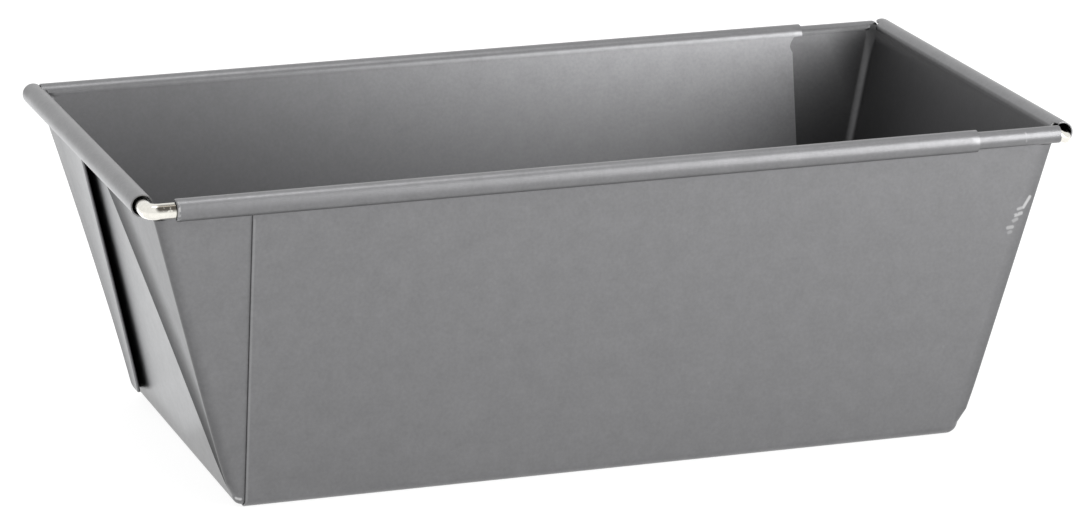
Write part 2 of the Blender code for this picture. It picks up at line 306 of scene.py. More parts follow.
class LoafPanFinish(bpy.types.PropertyGroup):
    """Colours and finish of the metal, with the painted light and shade on it."""

    coating: colour("Coating", (0.195, 0.195, 0.200), "Silver grey of the coated sheet")
    coating_roughness: share("Coating roughness", 0.42, "Roughness of the coated sheet")
    lacquer: share("Lacquer", 0.5, "Weight of the clear coat over it")
    lacquer_roughness: share("Lacquer roughness", 0.35, "Roughness of that clear coat")
    # Inside tones: the outer half's inside is a darker coating with painted shade, deepest low down
    # and towards the closed end; the inner half's gets painted light towards its right
    inside_tone: share("Inside tone", 0.44, "Tone of the outer half's inside")
    inside_sheen: amount("Inside sheen", 1.62, "Tone of the inner half's inside, at its right")
    # Painted shade on the back roll's side that faces the inside, dimming its highlight
    back_rim_inner: share("Back rim, inner half", 0.67, "Tone of the back roll's near side")
    back_rim_outer: share("Back rim, outer half", 0.4, "The same on the half with small rolls")
    # Painted shade: tone of the coating along the folded free edges and on the collar
    dull_tone: share("Dull tone", 0.42, "Tone of the coating along a folded free edge")
    dull_metal: share("Dull metal", 0.1, "How metallic the dulled coating still is there")
    dull_roughness: share("Dull roughness", 0.3, "Roughness that the dulled coating has more")
    grain_size: length("Grain size", 0.0008, "Size of the coating's metal flakes")
    grain_depth: length("Grain depth", 0.000006, "Height of the coating's texture")
    grain_contrast: share("Grain contrast", 0.13, "Light and dark between flakes")
    # Painted shade: the coating grows darker towards the foot
    foot_tone: share("Foot tone", 0.86, "Tone of the coating at the foot against the rim")
    mottle_contrast: share("Mottle contrast", 0.10, "Slow change of tone over the sheet")
    # Colour of the rub marks and flecks, and of the painted highlights
    scuff: colour("Scuff", (0.62, 0.62, 0.62), "Bare metal where the coating is rubbed")
    steel: colour("Wire steel", (0.80, 0.78, 0.72), "Bright plating of the wires")
    steel_roughness: share("Wire roughness", 0.13, "Roughness of the plating")
    # Colour of the painted dark reflection on the bare wire
    tarnish: colour("Tarnish", (0.10, 0.09, 0.075), "Dull line along the bare wire")


class LoafPanStudio(bpy.types.PropertyGroup):
    """Camera, light and floor."""

    focal_length: lens("Focal length", 171.85, "Lens of the camera")
    camera_place: place("Camera", (-0.33259, -1.03269, 0.33664), "Where the camera stands")
    yaw: angle("Yaw", radians(17.84), "Turn of the camera towards +X")
    pitch: angle("Pitch", radians(15.52), "Downward tilt of the camera")
    roll: angle("Roll", radians(-0.31), "Roll of the camera")
    surround: amount("Surround", 1.0, "Strength of the white surround")
    front_softbox: amount("Front softbox", 8.2, "Watts of the tall lamp at the front right")
    front_card: amount("Front card", 5.5, "Watts of the lamp on the floor at the front right")
    back_card: amount("Back card", 0.115, "Watts of the lamp on the floor behind the left end")
    overhead_strip: amount("Overhead strip", 1.2, "Watts of the lamp above the left half")
    floor: colour("Floor", (0.22, 0.22, 0.22), "Colour of the floor")
    floor_lift: share("Floor lift", 0.88, "Light added to the floor where it is seen directly")


def settings(name):
    """The scene's values of one of the property groups."""
    return getattr(bpy.context.scene, f"loaf_pan_{name}")


def ramp(value, limits):
    """Smooth step from 0 at the first limit to 1 at the second."""
    low, high = limits
    place = min(1, max(0, (value - low) / (high - low)))
    return place * place * (3 - 2 * place)


class Half:
    """Where one half's sheet runs. Axis 0 means its long walls and rolls, axis 1 its end."""

    def __init__(self, end):
        size, corner, wires = settings("sizes"), settings("corners"), settings("wires")
        self.end = end
        self.inner = end < 0
        nest = 1 if self.inner else 0
        self.sheet = size.sheet
        self.layer = size.sheet + size.clearance
        small = wires.outer_radius + size.clearance + size.sheet / 2
        large = small + self.layer
        self.under = large + size.sheet / 2 + size.clearance
        self.rolls = (large if self.inner else small, large)
        self.leans = (size.side_flare, size.end_flare)
        self.rims = (size.rim_width / 2, size.rim_length / 2)
        self.height = size.rim_height
        self.flap_head = self.height - self.under
        self.steps = tuple(self.roll_steps(roll, nest + 1) for roll in self.rolls)
        self.floor = size.sheet / 2 + nest * self.layer
        self.fold = size.fold_reach - nest * self.layer * tan((pi / 2 - size.side_flare) / 2)
        self.fold_margin = corner.fold_margin
        base = self.rims[1] - self.inset(0, size.end_flare, large - size.sheet / 2)
        if self.inner:
            self.open_x = base - size.fold_reach - size.open_edge_gap
            self.cuts = {(0, -1): corner.front_left, (1, -1): corner.front_left,
                         (0, 1): self.under - corner.lap, (1, 1): corner.cap - large}
            self.caps = {(1, 1): corner.cap, (0, -1): corner.crimp}
            self.laps = {(0, 1): corner.lap}
        else:
            self.open_x = size.seam_setback - base
            self.cuts = {(0, -1): corner.front_right_long, (1, -1): corner.front_right_end,
                         (0, 1): corner.back_right_long, (1, 1): corner.back_right_end}
            self.caps = {(0, 1): corner.cap, (1, 1): corner.cap}
            self.laps = {}

    def roll_steps(self, radius, layers):
        """Steps of a roll whose edge comes back to the wall, clear of the sheets there."""
        tuck = acos(1 - layers * self.layer / radius)
        return int((2 * pi - tuck) / ROLL_STEP)

    def inset(self, height, lean, reach):
        """How far inside the rim's wire a wall surface stands, at a height."""
        return (reach + (self.height - height) * sin(lean)) / cos(lean)

    def end_x(self, height, depth=0.0):
        """X of the end wall's middle surface, or of one `depth` outside it."""
        return self.end * (self.rims[1] - self.inset(height, self.leans[1], self.rolls[1] - depth))

    def side_y(self, height, depth=0.0):
        """Y of the back wall's middle surface, or of one `depth` outside it."""
        return self.rims[0] - self.inset(height, self.leans[0], self.rolls[0] - depth)

    def roll_start(self, axis, corner):
        """Distance from the corner at which a roll is whole, clear of the rounded fold."""
        across = 1 - axis
        fold = self.inset(self.height, self.leans[across], self.rolls[across]) + self.fold
        return max(self.cuts[axis, corner], fold + self.fold_margin)

    def covering(self, turn):
        """How much of a roll's full length a point at this angle round it has."""
        return ramp(turn, COVER_RISE) * (1 - ramp(turn, COVER_FALL))

    def roll_angle(self, axis, side, place):
        """Angle of a point round a roll, from the wall over the top, and its radius."""
        inward = self.rims[axis] - place[1 - axis] * side
        rise = place.z - self.height
        return atan2(rise, inward) % (2 * pi), hypot(inward, rise)


def trough(half):
    """The walls and floor as one open surface: a tapered box without top and open end."""
    bm = bmesh.new()
    bmesh.ops.create_cube(bm, size=1)
    bm.normal_update()
    lids = [face for face in bm.faces if face.normal.z > cos(SHARP_ANGLE)]
    lids += [face for face in bm.faces if face.normal.x * half.end < -cos(SHARP_ANGLE)]
    bmesh.ops.delete(bm, geom=lids, context="FACES")
    for vert in bm.verts:
        height = half.height if vert.co.z > 0 else half.floor
        side = 1 if vert.co.y > 0 else -1
        closed = vert.co.x * half.end > 0
        x = half.end_x(height) if closed else half.open_x
        vert.co = (x, side * half.side_y(height), height)
    folds = [edge for edge in bm.edges if not edge.is_boundary]
    bmesh.ops.bevel(bm, geom=folds, offset=half.fold, segments=FOLD_SEGMENTS, profile=0.5,
                    affect="EDGES", material=-1, clamp_overlap=True)
    if not half.inner:
        slant = settings("sizes").seam_slant
        for vert in bm.verts:
            if abs(vert.co.x - half.open_x) < IN_PLANE:
                vert.co.x -= half.end * slant * (1 - vert.co.z / half.height)
    return bm


def cut(bm, place, normal):
    """Add an edge loop where a plane meets the sheet."""
    geometry = bm.verts[:] + bm.edges[:] + bm.faces[:]
    bmesh.ops.bisect_plane(bm, geom=geometry, plane_co=place, plane_no=normal, dist=IN_PLANE)


def centre_of(edge):
    return (edge.verts[0].co + edge.verts[1].co) / 2


def verts_of(edges):
    return {vert for edge in edges for vert in edge.verts}


def free_edges(bm, axis, place):
    """The free edges that lie in the plane at a place on an axis."""
    return [edge for edge in bm.edges if edge.is_boundary
            and all(abs(vert.co[axis] - place) < IN_PLANE for vert in edge.verts)]


def top_edges(bm, half, axis, low, high, side):
    """The free top edges along an axis, between two places, on one side of the pan."""
    found = []
    for edge in free_edges(bm, UP, half.height):
        place = centre_of(edge)
        along = abs((edge.verts[0].co - edge.verts[1].co)[axis])
        if along > half.sheet and place[1 - axis] * side > 0 and low < place[axis] < high:
            found.append(edge)
    return found


def extrude(bm, edges, offset):
    """Draw edges out by an offset and return the new free edges."""
    made = bmesh.ops.extrude_edge_only(bm, edges=edges)["geom"]
    verts = [item for item in made if isinstance(item, bmesh.types.BMVert)]
    bmesh.ops.translate(bm, verts=verts, vec=offset)
    fresh = set(verts)
    return [edge for edge in bm.edges if edge.verts[0] in fresh and edge.verts[1] in fresh]


def roll_rim(bm, half, axis, side, low, high):
    """Raise the wall's top edge to the roll and spin it outward round the wire."""
    lean = half.leans[axis]
    rise = half.rolls[axis] * sin(lean)
    outward = Vector((side, 0, 0)) if axis == 1 else Vector((0, side, 0))
    edges = top_edges(bm, half, axis, low, high, side)
    edges = extrude(bm, edges, outward * rise * tan(lean) + Vector((0, 0, rise)))
    centre = outward * half.rims[axis] + Vector((0, 0, half.height))
    spin_axis = Vector((0, 0, 1)).cross(outward)
    bmesh.ops.spin(bm, geom=edges, cent=centre, axis=spin_axis,
                   angle=half.steps[axis] * ROLL_STEP, steps=half.steps[axis], use_merge=False)


def roll_end_edges(bm, half, axis, side, place):
    """Edges of a roll's open end."""
    limit = half.rolls[axis] + half.sheet
    return [edge for edge in free_edges(bm, axis, place)
            if half.roll_angle(axis, side, centre_of(edge))[1] < limit]


def run_on(bm, half, axis, side, corner):
    """Run a roll on towards the corner: its shoulder, and its top and outside further."""
    toward = half.end if axis == 0 else corner
    place = half.roll_start(axis, corner)
    last = half.cuts[axis, corner]
    middle = max(last, half.under - half.laps.get((axis, corner), 0))
    shoulder = max(0, place - middle)
    cover = max(0, min(place, middle) - last)
    fresh = roll_end_edges(bm, half, axis, side, toward * (half.rims[1 - axis] - place))
    if shoulder + cover > 0:
        fresh = extrude(bm, fresh, Vector())
        for vert in verts_of(fresh):
            turn, _ = half.roll_angle(axis, side, vert.co)
            reach = shoulder * ramp(turn, SHOULDER_RISE) * (1 - ramp(turn, SHOULDER_FALL))
            vert.co[axis] += toward * (reach + cover * half.covering(turn))
    size = half.caps.get((axis, corner), 0)
    for step in range(CAP_STEPS if size else 0):
        near, far = CAP_TURN * step / CAP_STEPS, CAP_TURN * (step + 1) / CAP_STEPS
        fresh = extrude(bm, fresh, Vector())
        for vert in verts_of(fresh):
            turn, radius = half.roll_angle(axis, side, vert.co)
            weight = half.covering(turn)
            vert.co[axis] += toward * size * (sin(far) - sin(near)) * weight
            shrunk = radius - size * (cos(near) - cos(far)) * weight
            across = vert.co[1 - axis] - side * half.rims[axis]
            vert.co[1 - axis] = side * half.rims[axis] + across * shrunk / radius
            vert.co.z = half.height + (vert.co.z - half.height) * shrunk / radius


def raise_collar(bm, half, corner, fold_line):
    """Raise the rounded fold's top edge between two rolls, leaning out, dulled and darkened by
    painted shade.
    """
    size = settings("sizes")
    inside_x = half.rims[1] - half.roll_start(0, corner)
    inside_y = half.rims[0] - half.roll_start(1, corner)
    edges = []
    for edge in free_edges(bm, UP, half.height):
        place = centre_of(edge)
        if place.x * half.end > inside_x and inside_y < place.y * corner < half.rims[0]:
            edges.append(edge)
    lean = size.collar_lean
    fresh = extrude(bm, edges, Vector((half.end * lean, corner * lean, size.collar_height)))
    for vert in verts_of(edges + fresh):
        vert[fold_line] = 1


def notch(bm, half, side):
    """Relieve the open edge just under the rim."""
    size = settings("sizes")
    top = half.height
    low = top - size.notch_height
    for step in range(1, BEND_STEPS):
        height = low + (top - low) * step / BEND_STEPS
        cut(bm, Vector((0, 0, height)), Vector((0, 0, 1)))
    for vert in bm.verts:
        on_edge = abs(vert.co.x - half.open_x) < IN_PLANE and vert.co.y * side > 0
        if on_edge and low < vert.co.z < top:
            part = (vert.co.z - low) / (top - low)
            vert.co.x += half.end * size.notch_depth * sin(pi * part)


def flap_section(half, height, proud):
    """A flap's line at a height: inset from the side wall, distance off the end wall, and the mask
    of dulling and painted shade.
    """
    folds, flap = settings("flaps"), settings("proud_flap" if proud else "flat_flap")
    sheet = half.sheet
    up = max(0, (height - flap.knee) / (half.flap_head - flap.knee))
    width = flap.knee_width + (flap.head_width - flap.knee_width) * up ** flap.bow
    growth = up ** flap.gap_bow
    gap = flap.corner_gap + (flap.corner_gap_head - flap.corner_gap) * growth
    edge_gap = flap.edge_gap + (flap.edge_gap_head - flap.edge_gap) * growth
    level = gap + sheet + sheet / 2
    middle = edge_gap + sheet / 2 + folds.edge_turn
    first = sheet / 2 + folds.bend
    last = width - folds.edge_turn
    reach = min(flap.lift_width, LIFT_LIMIT * (last - first))
    # Painted shade with the dulling: the flat flap darkest at its free edge, the proud one low down
    # and near its corner
    at_corner = folds.proud_dulling * (1 - FADE_UP * up) if proud else folds.flat_dulling
    corner = [(sheet / 2, -half.fold - sheet / 2, 0)]
    for step in range(BEND_STEPS + 1):
        turn = pi / 2 * step / BEND_STEPS
        corner.append((sheet / 2 + folds.bend * (1 - cos(turn)),
                       level - folds.bend * (1 - sin(turn)), at_corner))
    face = []
    for step in range(FLAP_FACE_STEPS):
        if proud:
            part = (step + 1) / (FLAP_FACE_STEPS + 1)
            inset, rise = first + reach * part, 1 - (1 - part) ** 2
            mask = at_corner * (1 - FADE_ACROSS * inset / width)
        else:
            part = step / FLAP_FACE_STEPS
            inset, rise = last - reach * (1 - part), part * part
            mask = max(at_corner, 1 - reach * (1 - part) / folds.dull_width)
        face.append((inset, level + (middle + folds.edge_turn - level) * rise, mask))
    edge = []
    for step in range(EDGE_TURN_STEPS + 1):
        turn = pi * step / EDGE_TURN_STEPS
        edge.append((width + folds.edge_turn * (sin(turn) - 1),
                     middle + folds.edge_turn * cos(turn),
                     at_corner * EDGE_KEEPS if proud else 1))
    under = [(inset, distance - sheet, 0) for inset, distance, _ in reversed(face)]
    return corner + face + edge + under + [((sheet + folds.bend) / 2, gap + sheet / 2, 0)]


def flap_foot(half, count):
    """The flap's line at its foot, inside the corner fold's own sheet."""
    start = half.fold + half.sheet / 2
    rows = [(half.sheet / 2, -start, 0)]
    for step in range(BEND_STEPS + 1):
        turn = pi / 2 * step / BEND_STEPS
        rows.append((start - half.fold * cos(turn), half.fold * sin(turn) - start, 0))
    rest = count - len(rows)
    for step in range(rest):
        rows.append((start + half.sheet * (step + 1) / rest, -half.sheet / 2, 0))
    return rows


def add_flap(bm, half, side, proud, thickness, fold_line):
    """An envelope fold: the sheet goes round the corner, along the end wall and back."""
    knee = settings("proud_flap" if proud else "flat_flap").knee
    rise = half.flap_head - knee
    levels = [knee + rise * step / FLAP_LEVELS for step in range(FLAP_LEVELS + 1)]
    sections = [(height, flap_section(half, height, proud), 1.0) for height in levels]
    foot = flap_foot(half, len(sections[0][1]))
    sections.insert(0, (settings("flaps").foot, foot, FOOT_THICKNESS))
    lines = []
    for height, rows, weight in sections:
        points = []
        for inset, distance, _ in rows:
            x = half.end_x(height, half.sheet / 2) + half.end * distance / cos(half.leans[1])
            points.append((x, side * (half.side_y(height, half.sheet / 2) - inset), height))
        verts = [bm.verts.new(point) for point in points]
        for vert, (_, _, mask) in zip(verts, rows):
            vert[thickness][0] = weight
            vert[fold_line] = mask
        lines.append([bm.edges.new(pair) for pair in zip(verts, verts[1:])])
    for low, high in zip(lines, lines[1:]):
        bmesh.ops.bridge_loops(bm, edges=low + high)


def folded_sheet(half):
    """One half's sheet: trough, rolled rim with its corners, and two envelope folds."""
    bm = trough(half)
    if half.inner:
        for side in (-1, 1):
            notch(bm, half, side)
    starts = {}
    for corner in (-1, 1):
        starts[0, corner] = half.end * (half.rims[1] - half.roll_start(0, corner))
        starts[1, corner] = corner * (half.rims[0] - half.roll_start(1, corner))
    for (axis, _), place in starts.items():
        normal = Vector((1, 0, 0)) if axis == 0 else Vector((0, 1, 0))
        cut(bm, normal * place, normal)
    for side in (-1, 1):
        low, high = sorted((half.open_x, starts[0, side]))
        roll_rim(bm, half, 0, side, low, high)
    roll_rim(bm, half, 1, half.end, starts[1, -1], starts[1, 1])
    for corner in (-1, 1):
        run_on(bm, half, 0, corner, corner)
        run_on(bm, half, 1, half.end, corner)
    if half.inner:
        for side in (-1, 1):
            edges = roll_end_edges(bm, half, 0, side, half.open_x)
            extrude(bm, edges, Vector((-half.end * settings("sizes").roll_overrun, 0, 0)))
    thickness = bm.verts.layers.deform.verify()
    fold_line = bm.verts.layers.float.new(FOLD_DULL_SHADE)
    raise_collar(bm, half, 1, fold_line)
    for vert in bm.verts:
        vert[thickness][0] = 1.0
    add_flap(bm, half, 1, half.inner, thickness, fold_line)
    add_flap(bm, half, -1, False, thickness, fold_line)
    bmesh.ops.remove_doubles(bm, verts=bm.verts[:], dist=ONE_POINT)
    bmesh.ops.recalc_face_normals(bm, faces=bm.faces[:])
    turn_outward(bm, half)
    return bm


def turn_outward(bm, half):
    """Make the sheet's normals point out of the pan, judged by its floor."""
    bm.normal_update()
    floor = max((face for face in bm.faces if face.calc_center_median().z < half.fold),
                key=lambda face: face.calc_area())
    if floor.normal.z > 0:
        bmesh.ops.reverse_faces(bm, faces=bm.faces[:])


def new_piece(name, bm, material):
    mesh = bpy.data.meshes.new(name)
    bm.normal_update()
    bm.to_mesh(mesh)
    bm.free()
    mesh.shade_smooth()
    mesh.materials.append(material)
    piece = bpy.data.objects.new(name, mesh)
    bpy.context.scene.collection.objects.link(piece)
    return piece


def stand_for(piece, body, node):
    """Let a piece stand for a CAD node: put it on the node's body and hide the node."""
    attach(piece, body)
    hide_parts(node)


def thicken(piece):
    """Give the sheet its thickness, round its cut edges and keep the flats flat."""
    size = settings("sizes")
    piece.vertex_groups.new(name=THICKNESS)
    shell = piece.modifiers.new("thickness", "SOLIDIFY")
    shell.thickness = size.sheet
    shell.offset = 0
    shell.use_quality_normals = True
    shell.vertex_group = THICKNESS
    rounding = piece.modifiers.new("cut edges", "BEVEL")
    rounding.width = size.edge_round
    rounding.segments = EDGE_SEGMENTS
    rounding.limit_method = "ANGLE"
    rounding.angle_limit = SHARP_ANGLE
    flats = piece.modifiers.new("flats", "WEIGHTED_NORMAL")
    flats.mode = "FACE_AREA"


def bent_wire(end, radius, leg_end, corner, sags, shifts):
    """A U of round wire, whose end run and bends may lie lower and further out than its legs.

    `sags` are the end run's, front bend's and back bend's, `shifts` the end run's and bends'.
    """
    size = settings("sizes")
    half_length = size.rim_length / 2 - corner
    half_width = size.rim_width / 2 - corner
    height = size.rim_height
    start = Matrix.Translation((leg_end, -size.rim_width / 2, height))
    bm = bmesh.new()
    bmesh.ops.create_circle(bm, radius=radius, segments=WIRE_SEGMENTS,
                            matrix=start @ Matrix.Rotation(pi / 2, 4, "Y"))
    # Loops this far from each bend hold the sag and shift to the bends
    ease = 2 * corner
    lead = Vector((end * ease, 0, 0))
    leg = Vector((end * half_length - leg_end, 0, 0)) - lead
    slip = Vector((0, ease, 0))
    run = Vector((0, 2 * half_width, 0)) - 2 * slip
    edges = extrude(bm, extrude(bm, bm.edges[:], leg), lead)
    for side, offsets in ((-1, (slip, run, slip)), (1, (-lead, -leg))):
        centre = Vector((end * half_length, side * half_width, height))
        made = bmesh.ops.spin(bm, geom=edges, cent=centre, axis=(0, 0, end), angle=pi / 2,
                              steps=WIRE_BEND_STEPS, use_merge=False)
        edges = [item for item in made["geom_last"] if isinstance(item, bmesh.types.BMEdge)]
        for offset in offsets:
            edges = extrude(bm, edges, offset)
    bmesh.ops.holes_fill(bm, edges=[edge for edge in bm.edges if edge.is_boundary], sides=0)
    bmesh.ops.remove_doubles(bm, verts=bm.verts[:], dist=ONE_POINT_OF_WIRE)
    bmesh.ops.recalc_face_normals(bm, faces=bm.faces[:])
    rims = [edge for edge in bm.edges
            if len(edge.link_faces) == 2 and edge.calc_face_angle() > SHARP_ANGLE]
    bmesh.ops.bevel(bm, geom=rims, offset=settings("wires").end_round,
                    segments=EDGE_SEGMENTS, profile=0.5, affect="EDGES", material=-1)
    run_sag, *bend_sags = sags
    run_shift, bend_shift = shifts
    for vert in bm.verts:
        run = ramp(end * vert.co.x, (half_length, half_length + corner))
        bend = ramp(end * vert.co.x, (half_length - corner, half_length + corner))
        bend *= ramp(abs(vert.co.y), (half_width - corner, half_width))
        vert.co.z -= run_sag * run + bend_sags[vert.co.y > 0] * bend
        vert.co.x += end * (run_shift * run + bend_shift * bend)
    return bm


def new_group(name, inputs, outputs=("Mask",)):
    """A new shader node group and its sockets inside. None makes a vector input."""
    group = bpy.data.node_groups.new(name, "ShaderNodeTree")
    for label, default in inputs.items():
        kind = "NodeSocketVector" if default is None else "NodeSocketFloat"
        socket = group.interface.new_socket(name=label, in_out="INPUT", socket_type=kind)
        if default is not None:
            socket.default_value = default
    for label in outputs:
        group.interface.new_socket(name=label, in_out="OUTPUT", socket_type="NodeSocketFloat")
    entry = group.nodes.new("NodeGroupInput")
    return group, entry.outputs, group.nodes.new("NodeGroupOutput").inputs


def feed(tree, node, feeds):
    """Link or set a node's sockets, by name or number."""
    for key, value in feeds.items():
        if isinstance(value, bpy.types.NodeSocket):
            tree.links.new(value, node.inputs[key])
        else:
            node.inputs[key].default_value = value


def add_node(tree, kind, feeds=None, **choices):
    made = tree.nodes.new(kind)
    for key, value in choices.items():
        setattr(made, key, value)
    feed(tree, made, feeds or {})
    return made


def add_group(tree, maker, feeds):
    """A node of the group with its maker's name, made the first time that it is asked for."""
    group = bpy.data.node_groups.get(maker.__name__) or maker()
    return add_node(tree, "ShaderNodeGroup", feeds, node_tree=group)


def maths(tree, operation, *values):
    feeds = dict(enumerate(values))
    return add_node(tree, "ShaderNodeMath", feeds, operation=operation).outputs[0]


def product(tree, *values):
    return reduce(lambda first, second: maths(tree, "MULTIPLY", first, second), values)


def vectors(tree, operation, *values):
    """A vector operation's result: a number for a dot product, length or distance."""
    made = add_node(tree, "ShaderNodeVectorMath", dict(enumerate(values)), operation=operation)
    single = operation in ("DOT_PRODUCT", "LENGTH", "DISTANCE")
    return made.outputs["Value" if single else "Vector"]


def scaled(tree, vector, factor):
    feeds = {0: vector, "Scale": factor}
    return add_node(tree, "ShaderNodeVectorMath", feeds, operation="SCALE").outputs["Vector"]


def split(tree, vector):
    return add_node(tree, "ShaderNodeSeparateXYZ", {0: vector}).outputs


def span(tree, value, limits, results=(0.0, 1.0), course="SMOOTHSTEP"):
    """Map a value from one span to another, and hold it at the ends."""
    feeds = {"Value": value, "From Min": limits[0], "From Max": limits[1],
             "To Min": results[0], "To Max": results[1]}
    return add_node(tree, "ShaderNodeMapRange", feeds, interpolation_type=course).outputs["Result"]


def noise(tree, vector, scale, detail, roughness=0.5):
    feeds = {"Vector": vector, "Scale": scale, "Detail": detail, "Roughness": roughness}
    return add_node(tree, "ShaderNodeTexNoise", feeds).outputs["Fac"]


def toned(tree, mask, tone):
    """1 where the mask is 0, and the tone where it is 1."""
    return span(tree, mask, (0.0, 1.0), (1.0, tone), "LINEAR")


def coating_grain():
    """Fine metal flakes and a slow mottle: a tone round 1, a roughness step and a height."""
    group, entry, leave = new_group(
        "coating_grain", {"Vector": None, "Flake Size": 0.0005, "Flakes": 0.1, "Mottle": 0.05},
        ("Tone", "Roughness Step", "Height"))
    density = maths(group, "DIVIDE", 1.0, entry["Flake Size"])
    flakes = noise(group, entry["Vector"], density, detail=2.0, roughness=0.6)
    mottle = noise(group, entry["Vector"], MOTTLE_SCALE, detail=3.0)
    light = product(group, maths(group, "SUBTRACT", flakes, 0.5), entry["Flakes"])
    slow = product(group, maths(group, "SUBTRACT", mottle, 0.5), entry["Mottle"])
    both = product(group, maths(group, "ADD", light, slow), 2.0)
    group.links.new(maths(group, "ADD", both, 1.0), leave["Tone"])
    group.links.new(product(group, both, FLAKE_SMOOTHING), leave["Roughness Step"])
    group.links.new(flakes, leave["Height"])
    return group


def bright_flecks():
    """A mask of sparse pin-point flecks."""
    group, entry, leave = new_group("bright_flecks", {"Vector": None, "Amount": 0.5})
    dots = add_node(group, "ShaderNodeTexVoronoi",
                    {"Vector": entry["Vector"], "Scale": FLECK_SCALE}).outputs
    specks = span(group, dots["Distance"], FLECK_EDGE, FALLING)
    lots = add_node(group, "ShaderNodeSeparateColor", {"Color": dots["Color"]}).outputs["Red"]
    rare = maths(group, "GREATER_THAN", lots, FLECK_RARITY)
    group.links.new(product(group, specks, rare, entry["Amount"]), leave["Mask"])
    return group


def rub_mark():
    """A mask for a broken mark along a straight line between two points, used for rub marks,
    painted highlights and the painted dark reflection.
    """
    group, entry, leave = new_group(
        "rub_mark", {"Vector": None, "Start": None, "End": None, "Width": 0.0003, "Worn": 0.47})
    run = vectors(group, "SUBTRACT", entry["End"], entry["Start"])
    way = vectors(group, "SUBTRACT", entry["Vector"], entry["Start"])
    along = vectors(group, "DOT_PRODUCT", way, run)
    part = maths(group, "DIVIDE", along, vectors(group, "DOT_PRODUCT", run, run))
    part.node.use_clamp = True
    off = vectors(group, "DISTANCE", way, scaled(group, run, part))
    close = span(group, maths(group, "DIVIDE", off, entry["Width"]), RUB_EDGE, FALLING)
    breaks = noise(group, entry["Vector"], RUB_BREAKS, detail=1.0)
    least = maths(group, "SUBTRACT", entry["Worn"], RUB_SOFTNESS)
    most = maths(group, "ADD", entry["Worn"], RUB_SOFTNESS)
    left = span(group, breaks, (least, most))
    group.links.new(product(group, close, left), leave["Mask"])
    return group


def inside_mask():
    """1 inside a trough with rounded folds, 0 outside it, from its walls' places and slopes."""
    group, entry, leave = new_group(
        "inside_mask",
        {"Vector": None, "Walls": None, "Slopes": None, "Fold": 0.002, "Skin": 0.0001})

    def evenly(value):
        return add_node(group, "ShaderNodeCombineXYZ",
                        {"X": value, "Y": value, "Z": value}).outputs[0]

    height = evenly(split(group, entry["Vector"])["Z"])
    wall = vectors(group, "MULTIPLY_ADD", height, entry["Slopes"], entry["Walls"])
    past = vectors(group, "SUBTRACT", vectors(group, "ABSOLUTE", entry["Vector"]), wall)
    past = vectors(group, "ADD", past, evenly(entry["Fold"]))
    reach = vectors(group, "LENGTH", vectors(group, "MAXIMUM", past, (0, 0, 0)))
    outside = maths(group, "SUBTRACT", reach, entry["Fold"])
    outside = maths(group, "DIVIDE", outside, entry["Skin"])
    group.links.new(span(group, outside, (-1.0, 1.0), FALLING), leave["Mask"])
    return group


def back_rim_mask():
    """1 on the side of the back roll that faces the inside of the pan, where shade is painted."""
    group, entry, leave = new_group(
        "back_rim_mask", {"Vector": None, "Centre": None, "Radius": 0.002})
    offset = vectors(group, "SUBTRACT", entry["Vector"], entry["Centre"])
    _, y, z = split(group, scaled(group, offset, maths(group, "DIVIDE", 1.0, entry["Radius"])))
    start = span(group, z, RIM_SHADE_START)
    stop = span(group, z, RIM_SHADE_STOP, FALLING)
    back = span(group, y, RIM_SHADE_BACK)
    group.links.new(product(group, start, stop, back), leave["Mask"])
    return group


def inside_shade(tree, half, place):
    """Tone of a trough's inside: the outer half's a darker coating with painted shade, the inner
    half's lighter to the right by painted light.
    """
    finish = settings("finish")
    mask = add_group(tree, inside_mask, {
        "Vector": place, "Walls": (abs(half.end_x(0)), half.side_y(0), -half.floor),
        "Slopes": (tan(half.leans[1]), tan(half.leans[0]), FLOOR_SLOPE),
        "Fold": half.fold, "Skin": half.sheet / 3}).outputs["Mask"]
    x, _, z = split(tree, place)
    if half.inner:
        # Painted light, growing towards the right
        depth = span(tree, x, [part * half.rims[1] for part in PAINTED_LIGHT_SPAN])
        tone = finish.inside_sheen
    else:
        # Darker coating with painted shade: deepest low down and towards and near the closed end
        low = span(tree, z, [part * half.height for part in LOW_SPAN], FALLING)
        far = span(tree, x, [part * half.rims[1] for part in FAR_SPAN], (FAR_LEAST, 1.0))
        near = span(tree, x, [half.rims[1] - distance for distance in NEAR_SPAN])
        depth = maths(tree, "MAXIMUM", product(tree, low, far), product(tree, near, NEAR_DEPTH))
        tone = finish.inside_tone
    return toned(tree, product(tree, mask, depth), tone)


def rub_lines(half):
    """Rub marks and painted highlights on a half: start, end, width, least noise and weight of
    each.
    """
    def on_wall(x, z):
        return Vector((x, -half.side_y(z, half.sheet / 2), z))

    def on_roll(x, z):
        radius, rise = half.rolls[0] + half.sheet / 2, z - half.height
        return Vector((x, -half.rims[0] - (radius ** 2 - rise * rise) ** 0.5, z))

    if half.inner:
        # Painted highlights at the front roll's left end, and a painted glint at the foot at the
        # front left
        end = half.cuts[0, -1] - half.rims[1]
        above, level, below = (on_roll(end, half.height + rise)
                               for rise in (ROLL_END_REACH, 0, -ROLL_END_REACH))
        return [(above, level, *ROLL_END_HIGHLIGHT), (level, below, *ROLL_END_HIGHLIGHT), FOOT_GLINT]
    lines = [(on_wall(*start), on_wall(*end), *rest) for start, end, *rest in WALL_RUBS]
    start, end, *rest = ROLL_LIGHT_MARK
    lines.append((on_roll(*start), on_roll(*end), *rest))
    # Painted highlight along the seam's cut edge
    seam = half.open_x + half.end * half.sheet
    slanted = seam - half.end * settings("sizes").seam_slant
    lines.append((on_wall(slanted, 0.0), on_wall(seam, SEAM_HIGHLIGHT_TOP), *SEAM_HIGHLIGHT))
    return lines


